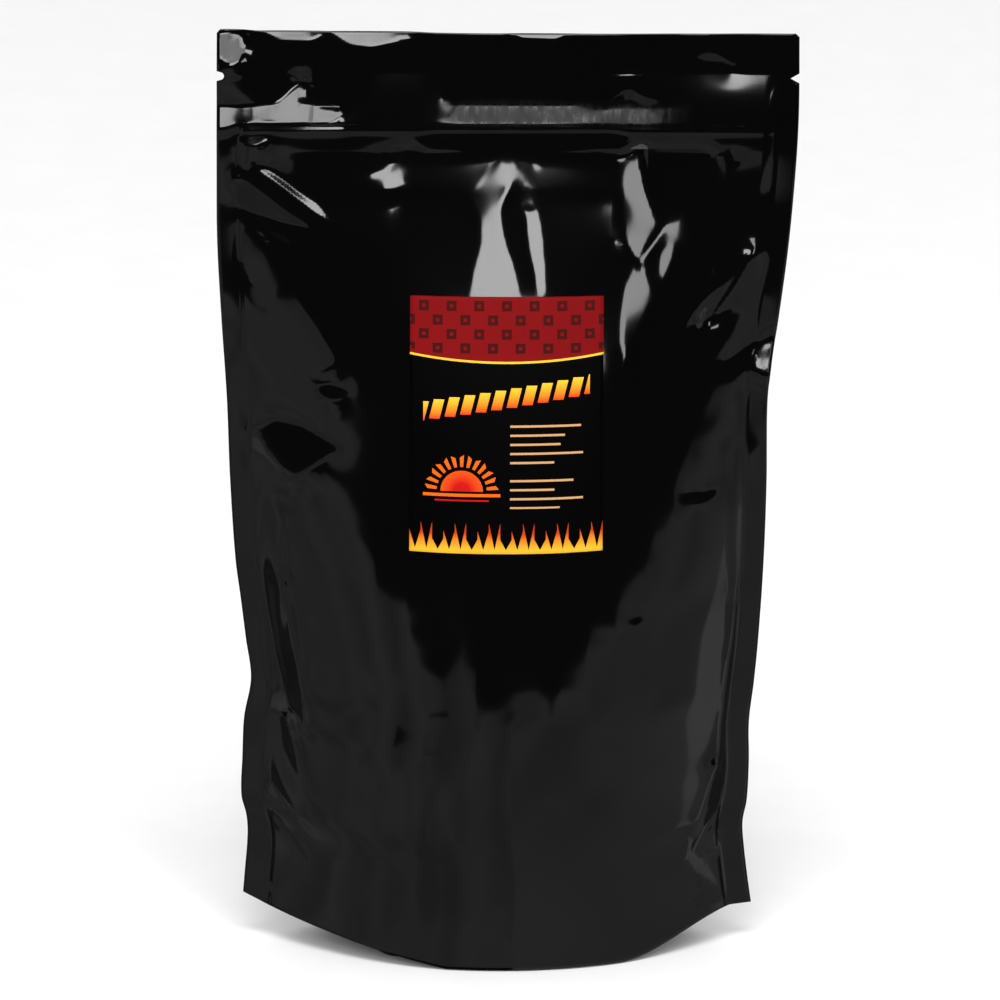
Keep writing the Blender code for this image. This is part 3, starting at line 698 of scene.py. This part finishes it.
def base_web(material):
    """The folded web under the pouch, welded inside both panels and arched at its ends."""
    across = np.linspace(-GUSSET_REACH, GUSSET_REACH, WEB_COLUMNS + 1)
    weld = weld_height(across)
    heights = np.linspace(0, 1, WEB_WELD_ROWS + 1)[:, None] * weld
    spread = np.broadcast_to(across, heights.shape)
    inset = FILM + GUSSET_GAP
    front = film_surface(-1, spread, heights, 1)
    back = film_surface(1, spread, heights, 2)
    front[..., 1] += inset
    back[..., 1] -= inset
    middle = (front[-1] + back[-1]) / 2
    top = front[-1][:, 2]
    half = np.maximum(np.abs(front[-1][:, 1]), MM)
    crest = top + np.sqrt(np.clip((GUSSET_FOLD - weld) ** 2 - half**2, 0, None))
    arched = ease(ARCH_FROM, ARCH_TO, np.abs(across))
    inwards, outwards = np.linspace(1, 0, WEB_STEPS + 1), np.linspace(0, 1, WEB_STEPS + 1)
    shares = np.concatenate([inwards[1:], outwards[1:-1]])
    crossing = []
    for k, share in enumerate(shares):
        wing = front[-1] if k < WEB_STEPS else back[-1]
        line = middle + (wing - middle) * share
        rise = np.clip(share - FLAT_SHARE, 0, None) / (1 - FLAT_SHARE)
        floor = WEB_CLEARANCE + (top - WEB_CLEARANCE) * rise**2
        arch = top + (crest - top) * (1 - share**WEB_ARCH_POWER)
        line[:, 2] = floor + (arch - floor) * arched
        crossing.append(line)
    points = np.concatenate([front, np.array(crossing), back[::-1]])
    return grid_object("base_web", points, material, turned=True, thickness=FILM)


def label_sheet(material):
    u, v = np.meshgrid(np.linspace(0, 1, LABEL_COLUMNS + 1), np.linspace(0, 1, LABEL_ROWS + 1))
    z0 = LABEL_BOTTOM + (LABEL_TOP - LABEL_BOTTOM) * v
    middle, half = section(z0)
    x = LABEL_HALF_WIDTH * (2 * u - 1)
    points = film_surface(-1, (x - middle) / half, z0, 1)
    points[..., 1] -= LABEL_GAP + LABEL_THICKNESS
    uv = np.stack([u, v], axis=-1)
    return grid_object("label_sheet", points, material, thickness=LABEL_THICKNESS, uv=uv)


class Shader:
    """A small helper to build a node material: each call adds a node and returns its output."""

    def __init__(self, name, color, roughness, ior=1.5, **sockets):
        self.material = bpy.data.materials.new(name)
        self.material.use_nodes = True
        self.tree = self.material.node_tree
        self.surface = self.tree.nodes["Principled BSDF"]
        self.set("Base Color", (*color, 1))
        self.set("Roughness", roughness)
        self.set("IOR", ior)
        for socket, value in sockets.items():
            self.set(socket.replace("_", " "), value)

    def set(self, socket, value):
        self.surface.inputs[socket].default_value = value

    def link(self, value, socket):
        self.tree.links.new(value, socket)

    def drive(self, socket, value):
        """Let a node's output set one of the surface's sockets."""
        self.link(value, self.surface.inputs[socket])

    def node(self, kind, inputs=(), **settings):
        made = self.tree.nodes.new("ShaderNode" + kind)
        for key, value in settings.items():
            setattr(made, key, value)
        for key, value in dict(inputs).items():
            if isinstance(value, bpy.types.NodeSocket):
                self.link(value, made.inputs[key])
            else:
                made.inputs[key].default_value = value
        return made

    def math(self, operation, a, b=0.0):
        return self.node("Math", {0: a, 1: b}, operation=operation).outputs[0]

    def noise(self, scale, detail=3.0, stretch=(1, 1, 1)):
        where = self.node("TexCoord").outputs["Object"]
        mapped = self.node("Mapping", {"Vector": where, "Scale": stretch}).outputs[0]
        inputs = {"Vector": mapped, "Scale": scale, "Detail": detail}
        return self.node("TexNoise", inputs).outputs["Fac"]

    def between(self, fac, low, high):
        inputs = {"Value": fac, "To Min": low, "To Max": high}
        return self.node("MapRange", inputs).outputs[0]

    def mix(self, fac, a, b):
        made = self.tree.nodes.new("ShaderNodeMix")
        made.data_type = "RGBA"
        self.link(fac, made.inputs[0])
        for key, value in ((6, a), (7, b)):
            if isinstance(value, bpy.types.NodeSocket):
                self.link(value, made.inputs[key])
            else:
                made.inputs[key].default_value = (*value, 1)
        return made.outputs[2]

    def bump(self, height, distance, strength=1.0):
        inputs = {"Height": height, "Distance": distance, "Strength": strength}
        self.drive("Normal", self.node("Bump", inputs).outputs[0])


def film_material():
    """Glossy black laminate with less clean patches, and duller over the middle of the zip's upper edge."""
    film = Shader("black_film", (0.001, 0.001, 0.0011), 0.05)
    dull_x, dull_half_x, dull_rise, dull_half_rise = 0.02, 0.055, 7 * MM, 0.0065
    m = film.math
    patches = film.noise(14, 4)
    where = film.node("SeparateXYZ", {"Vector": film.node("TexCoord").outputs["Object"]})

    def nearness(axis, middle, half, sharpness):
        off = m("ABSOLUTE", m("SUBTRACT", where.outputs[axis], middle))
        return film.between(m("MULTIPLY", m("SUBTRACT", half, off), sharpness), 0, 1)

    upright = nearness(2, ZIP_HEIGHT + dull_rise, dull_half_rise, 250)
    sideways = nearness(0, dull_x, dull_half_x, 50)
    streaks = film.between(film.noise(420, 3, stretch=(1, 1, 0.15)), -0.1, 0.6)
    dull = m("MULTIPLY", m("MULTIPLY", upright, sideways), streaks)
    film.drive("Roughness", m("ADD", film.between(patches, 0.04, 0.1), dull))
    film.drive("Base Color", film.mix(patches, (0.0006, 0.0006, 0.0007), (0.0014, 0.0014, 0.0016)))
    return film.material


def zip_material():
    plastic = Shader("zip_plastic", (0.03, 0.03, 0.033), 0.35)
    streaks = plastic.noise(90, 3, stretch=(0.05, 1, 1))
    plastic.drive("Roughness", plastic.between(streaks, 0.28, 0.45))
    plastic.drive("Base Color", plastic.mix(streaks, (0.02, 0.02, 0.022), (0.05, 0.05, 0.055)))
    plastic.bump(streaks, 0.00005)
    return plastic.material


def pod_material():
    skin = Shader("dried_pod_skin", (0.3, 0.03, 0.015), 0.55)
    blotches = skin.noise(60, 5)
    skin.drive("Base Color", skin.mix(blotches, (0.12, 0.01, 0.006), (0.45, 0.06, 0.02)))
    skin.drive("Roughness", skin.between(blotches, 0.4, 0.7))
    skin.bump(skin.noise(220, 4), 0.0006)
    return skin.material


def label_material():
    """A generic printed label: red lattice band, rising bars, plain rules, a half sun, a toothed edge.

    All measures are shares of the label's width: u from its left edge, and v from its foot up to 4/3."""
    paper = Shader("label_print", (0.3, 0.02, 0.02), 0.5, ior=1.45, Specular_IOR_Level=0.05)
    split = paper.node("SeparateXYZ", {"Vector": paper.node("UVMap", uv_map="flat").outputs[0]})
    m = paper.math
    u, v = split.outputs[0], m("MULTIPLY", split.outputs[1], 4 / 3)

    def within(value, low, high):
        return m("MULTIPLY", m("GREATER_THAN", value, low), m("LESS_THAN", value, high))

    def both(a, b):
        return m("MULTIPLY", a, b)

    def fraction(value, scale, shift=0.0):
        return m("FRACT", m("ADD", m("MULTIPLY", value, scale), shift))

    def tent(value, scale, shift=0.0):
        return m("ABSOLUTE", m("SUBTRACT", fraction(value, scale, shift), 0.5))

    def varied(value, count, middle, change, pace):
        """A measure that differs from each of count steps to the next."""
        step = m("FLOOR", m("MULTIPLY", value, count))
        return m("ADD", middle, m("MULTIPLY", m("SINE", m("MULTIPLY", step, pace)), change))

    black, dark_red, crimson = (0.0006, 0.0006, 0.0006), (0.05, 0.004, 0.003), (0.5, 0.006, 0.006)
    orange, yellow, beige = (0.86, 0.12, 0.006), (0.92, 0.5, 0.03), (0.55, 0.3, 0.13)
    mottle = paper.noise(26, 3)

    # The red band, with its lattice and its bowed lower border
    band_foot, bowed, border, lattice_foot, lattice_count = 1.005, -0.16, 0.011, 0.02, 7
    off = m("SUBTRACT", u, 0.5)
    bow = m("SUBTRACT", band_foot, m("MULTIPLY", m("MULTIPLY", off, off), bowed))
    warm = paper.mix(mottle, (0.13, 0.002, 0.003), (0.22, 0.004, 0.005))
    art = paper.mix(m("GREATER_THAN", v, bow), black, warm)
    lattice = m("ADD", tent(m("ADD", u, v), lattice_count), tent(m("SUBTRACT", u, v), lattice_count))
    rings = both(m("LESS_THAN", lattice, 0.36), m("GREATER_THAN", lattice, 0.12))
    art = paper.mix(both(m("GREATER_THAN", v, m("ADD", bow, lattice_foot)), rings), art, dark_red)
    art = paper.mix(within(v, m("SUBTRACT", bow, border), bow), art, yellow)

    # Rising bars, hotter towards their feet
    bar_count, bar_height, bar_width, first_top, rise_each = 13, 0.1, 0.7, 0.82, 0.0125
    slant = m("SUBTRACT", u, m("MULTIPLY", v, 0.25))
    step = m("FLOOR", m("MULTIPLY", slant, bar_count))
    bar_top = m("ADD", first_top, m("MULTIPLY", step, rise_each))
    bar_foot = m("SUBTRACT", bar_top, bar_height)
    bars = both(within(v, bar_foot, bar_top), m("LESS_THAN", fraction(slant, bar_count), bar_width))
    bars = both(bars, within(u, 0.07, 0.93))
    heat = paper.mix(paper.between(m("SUBTRACT", v, bar_foot), 0, 10), (0.8, 0.05, 0.005), yellow)
    art = paper.mix(bars, art, heat)

    # Plain rules, in two blocks
    rule_count, rule_height = 21, 0.24
    rows = m("LESS_THAN", fraction(v, rule_count), rule_height)
    blocks = m("MAXIMUM", within(v, 0.47, 0.68), within(v, 0.24, 0.425))
    rules = both(both(rows, blocks), within(u, 0.52, varied(v, rule_count, 0.82, 0.08, 2.4)))
    art = paper.mix(rules, art, beige)

    # The half sun on its two lines
    sun_x, sun_foot, disc, ray_foot, ray_count = 0.27, 0.33, 0.11, 0.13, 13
    across, rise = m("SUBTRACT", u, sun_x), m("SUBTRACT", v, sun_foot)
    radius = m("SQRT", m("ADD", m("MULTIPLY", across, across), m("MULTIPLY", rise, rise)))
    turn = m("ARCTAN2", rise, across)
    ray_end = m("ADD", 0.17, m("MULTIPLY", tent(turn, ray_count / 2 / math.pi), 0.06))
    rays = both(m("LESS_THAN", tent(turn, ray_count / math.pi), 0.24), within(radius, ray_foot, ray_end))
    sun = both(m("MAXIMUM", m("LESS_THAN", radius, disc), rays), m("GREATER_THAN", rise, 0))
    art = paper.mix(sun, art, paper.mix(paper.between(radius, -0.4, 9), crimson, orange))
    for line_v, line_u, ink in (
        ((0.302, 0.318), (0.07, 0.47), orange),
        ((0.278, 0.286), (0.13, 0.41), crimson),
    ):
        art = paper.mix(both(within(v, *line_v), within(u, *line_u)), art, ink)

    # The toothed lower edge
    tooth_count, tooth_foot = 17, 0.02
    tall = varied(u, tooth_count, 0.1, 0.05, 2.1)
    teeth = m("ADD", tooth_foot, m("MULTIPLY", tent(u, tooth_count), m("MULTIPLY", tall, 2)))
    height = m("ADD", v, m("MULTIPLY", mottle, 0.05))
    flame = paper.mix(paper.between(height, -0.2, 9), yellow, (0.5, 0.04, 0.004))
    art = paper.mix(m("LESS_THAN", v, teeth), art, flame)
    paper.drive("Base Color", art)
    fibre = paper.noise(160, 3)
    paper.drive("Roughness", paper.between(fibre, 0.42, 0.55))
    paper.bump(fibre, 0.00003, 0.4)
    return paper.material


def mirrored(pixels):
    """What the film mirrors at pixels of the photograph: azimuth and elevation in degrees, and the ray."""
    location, _ = camera_pose()
    flat = film_at(pixels) * MM
    x, z0 = flat[:, 0], flat[:, 1]
    here = film_surface(-1, column_at(x, z0), z0, 1)
    right = film_surface(-1, column_at(x + SLOPE_STEP, z0), z0, 1)
    left = film_surface(-1, column_at(x - SLOPE_STEP, z0), z0, 1)
    above = film_surface(-1, column_at(x, z0 + SLOPE_STEP), z0 + SLOPE_STEP, 1)
    below = film_surface(-1, column_at(x, z0 - SLOPE_STEP), z0 - SLOPE_STEP, 1)
    normal = np.cross(right - left, above - below)
    normal /= np.linalg.norm(normal, axis=1)[:, None]
    ray = here - np.array(location)
    ray /= np.linalg.norm(ray, axis=1)[:, None]
    away = ray - 2 * (ray * normal).sum(axis=1)[:, None] * normal
    start = here - np.array(CAMERA_TARGET)
    ahead = (start * away).sum(axis=1)
    reach = -ahead + np.sqrt(ahead**2 + ROOM_RADIUS**2 - (start * start).sum(axis=1))
    at = start + away * reach[:, None]
    azimuth = np.degrees(np.arctan2(at[:, 0], -at[:, 1]))
    elevation = np.degrees(np.arcsin(np.clip(at[:, 2] / ROOM_RADIUS, -1, 1)))
    return azimuth, elevation, here, away


def emission(name, low, high, scale):
    """A dim grey glow whose strength drifts between two values."""
    material = bpy.data.materials.new(name)
    material.use_nodes = True
    nodes, links = material.node_tree.nodes, material.node_tree.links
    nodes.clear()
    place = nodes.new("ShaderNodeTexCoord")
    cloud = nodes.new("ShaderNodeTexNoise")
    drift = nodes.new("ShaderNodeMapRange")
    for made, socket, value in (
        (cloud, "Scale", scale),
        (cloud, "Detail", 1),
        (drift, "From Min", 0.3),
        (drift, "From Max", 0.7),
        (drift, "To Min", low),
        (drift, "To Max", high),
    ):
        made.inputs[socket].default_value = value
    glow = nodes.new("ShaderNodeEmission")
    out = nodes.new("ShaderNodeOutputMaterial")
    links.new(place.outputs["Object"], cloud.inputs["Vector"])
    links.new(cloud.outputs[0], drift.inputs["Value"])
    links.new(drift.outputs[0], glow.inputs["Strength"])
    links.new(glow.outputs[0], out.inputs["Surface"])
    return material


def directions(azimuth, elevation):
    """Unit vectors. Azimuth 0 is in front, along -Y, and 90 is at the right, both in radians."""
    level = np.cos(elevation)
    return np.stack([np.sin(azimuth) * level, -np.cos(azimuth) * level, np.sin(elevation)], axis=-1)


def stage_card(name, points, faces, material):
    """A piece of the studio that only reflections see."""
    mesh = bpy.data.meshes.new(name)
    mesh.from_pydata(points, [], faces)
    mesh.materials.append(material)
    made = add_object(name, mesh)
    made.visible_camera = False
    made.visible_diffuse = False
    made.visible_shadow = False
    made.visible_transmission = False
    return made


def add_room():
    """The grey table and the wall at the left, cut to the rim of what the film mirrors as black.

    A dim wall and table go on beyond them."""
    grey, dim = emission("room", 0.24, 0.38, 5), emission("room_far", 0.06, 0.12, 5)
    rim_azimuth, rim_elevation = mirrored(RIM[: RIM_MIDDLE + 1])[:2]
    azimuth = np.concatenate([LEFT_RIM[0], rim_azimuth])
    rise = np.concatenate([LEFT_RIM[1], rim_elevation]) - WALL_MIDDLE
    count = len(azimuth)
    quads = [
        (r * count + c, r * count + c + 1, (r + 1) * count + c + 1, (r + 1) * count + c)
        for r in range(len(WALL_SHARES) - 1)
        for c in range(count - 1)
    ]
    for name, far, radius, glow in (
        ("room_left", WALL_TURN, ROOM_RADIUS, grey),
        ("room_far_left", FAR_WALL_TURN, FAR_ROOM_RADIUS, dim),
    ):
        outward = np.minimum(far / np.maximum(np.abs(azimuth), 1), WALL_TILT / np.maximum(np.abs(rise), 1))
        points = []
        for share in WALL_SHARES:
            scale = 1 + (outward - 1) * share
            around = directions(np.radians(azimuth * scale), np.radians(WALL_MIDDLE + rise * scale))
            points.append(np.array(CAMERA_TARGET) + around * radius)
        stage_card(name, np.concatenate(points).tolist(), quads, glow)

    _, _, start, away = mirrored(RIM[RIM_MIDDLE:])
    edge = start + away * np.minimum(-start[:, 2] / np.minimum(away[:, 2], -0.01), TABLE_REACH)[:, None]
    last = math.hypot(edge[-1, 0], edge[-1, 1])
    for name, ahead, far, drop, glow in (
        ("room_table", edge.tolist(), TABLE_TURN, TABLE_DROP, grey),
        ("room_far_table", [], FAR_TABLE_TURN, FAR_TABLE_DROP, dim),
    ):
        turn = np.radians(np.linspace(*far, TABLE_STEPS))
        points = [(0, 0, 0), *ahead, *(directions(turn, np.zeros(TABLE_STEPS)) * last).tolist()]
        fan = [(0, k, k + 1) for k in range(1, len(points) - 1)]
        stage_card(name, points, fan, glow).location.z = -drop


def card(name, size, location, rotation, low, high):
    """A plain dim card."""
    w, h = size[0] / 2, size[1] / 2
    corners = [(-w, -h, 0), (w, -h, 0), (w, h, 0), (-w, h, 0)]
    made = stage_card(name, corners, [(0, 1, 2, 3)], emission(name, low, high, 4))
    made.location = location
    made.rotation_euler = rotation


def softbox(name, azimuth, elevation, distance, size, power):
    """A rectangular area light. Azimuth 0 is in front, along -Y, and 90 is at the right."""
    light = bpy.data.lights.new(name, "AREA")
    light.shape = "RECTANGLE"
    light.size, light.size_y = size
    light.energy = power
    made = add_object(name, light)
    away = Vector(directions(math.radians(azimuth), math.radians(elevation)))
    made.location = SOFT_BOX_TARGET + away * distance
    made.rotation_euler = away.to_track_quat("Z", "Y").to_euler()
    made.visible_camera = False


def add_camera():
    """A long lens far away, looking down at the pouch as the photograph does."""
    data = bpy.data.cameras.new("camera")
    data.sensor_width = SENSOR
    data.lens = LENS
    data.clip_end = 100
    camera = add_object("camera", data)
    camera.location, turn = camera_pose()
    camera.rotation_mode = "QUATERNION"
    camera.rotation_quaternion = turn
    bpy.context.scene.camera = camera


def add_world():
    """Pale to the camera, dim grey light on matt surfaces, and dark in reflections."""
    world = bpy.data.worlds.new("studio")
    bpy.context.scene.world = world
    world.use_nodes = True
    nodes, links = world.node_tree.nodes, world.node_tree.links
    nodes.clear()
    path = nodes.new("ShaderNodeLightPath")
    pale = nodes.new("ShaderNodeBackground")
    pale.inputs["Color"].default_value = (0.9, 0.9, 0.9, 1)
    dark = nodes.new("ShaderNodeBackground")
    dark.inputs["Color"].default_value = (0.02, 0.02, 0.021, 1)
    pick = nodes.new("ShaderNodeMixShader")
    out = nodes.new("ShaderNodeOutputWorld")
    links.new(path.outputs["Is Glossy Ray"], pick.inputs["Fac"])
    links.new(pale.outputs[0], pick.inputs[1])
    links.new(dark.outputs[0], pick.inputs[2])
    links.new(pick.outputs[0], out.inputs["Surface"])


def add_floor():
    pale = Shader("pale_floor", (0.9, 0.9, 0.9), 0.8)
    pale.drive("Base Color", pale.mix(pale.noise(40, 2), (0.88, 0.88, 0.88), (0.92, 0.92, 0.92)))
    mesh = bpy.data.meshes.new("floor")
    r = FLOOR_HALF
    mesh.from_pydata([(-r, -r, 0), (r, -r, 0), (r, r, 0), (-r, r, 0)], [], [(0, 1, 2, 3)])
    mesh.materials.append(pale.material)
    floor = add_object("floor", mesh)
    floor.location.z = -FLOOR_DROP
    floor.visible_glossy = False


def add_lights():
    half_turn = math.pi / 2
    add_room()
    card("left_strip", (0.3, 0.6), (-1.2, -0.2, 0.2), (half_turn, 0, half_turn), 0.4, 0.6)
    card("right_streak", (0.44, 0.03), (0.4, -0.052, 0), (0, 0, -0.122), 0.5, 0.9)
    card("right_strip", (0.3, 0.4), (1.2, -0.2, 0.1), (half_turn, 0, half_turn), 0.4, 0.6)
    for name, setting in SOFT_BOXES.items():
        softbox(name, *setting)


def main():
    bpy.context.scene.view_settings.view_transform = "Standard"
    add_camera()
    add_world()
    add_floor()
    solve_facets()
    add_lights()
    film = film_material()
    pieces = [
        (film_panel("film_front", -1, film, 1), "front_panel", "film"),
        (film_panel("film_back", 1, film, 2), "back_panel", "film"),
        (base_web(film), "gusset", "film"),
        (label_sheet(label_material()), "label", "label"),
    ]
    for piece, node, slot in pieces:
        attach(piece, "root")
        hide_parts(node)
    for node, material in (
        ("zip_channel", zip_material()),
        ("zip_rib", zip_material()),
        ("dried_pods", pod_material()),
    ):
        for material_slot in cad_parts[node].material_slots:
            material_slot.material = material


main()
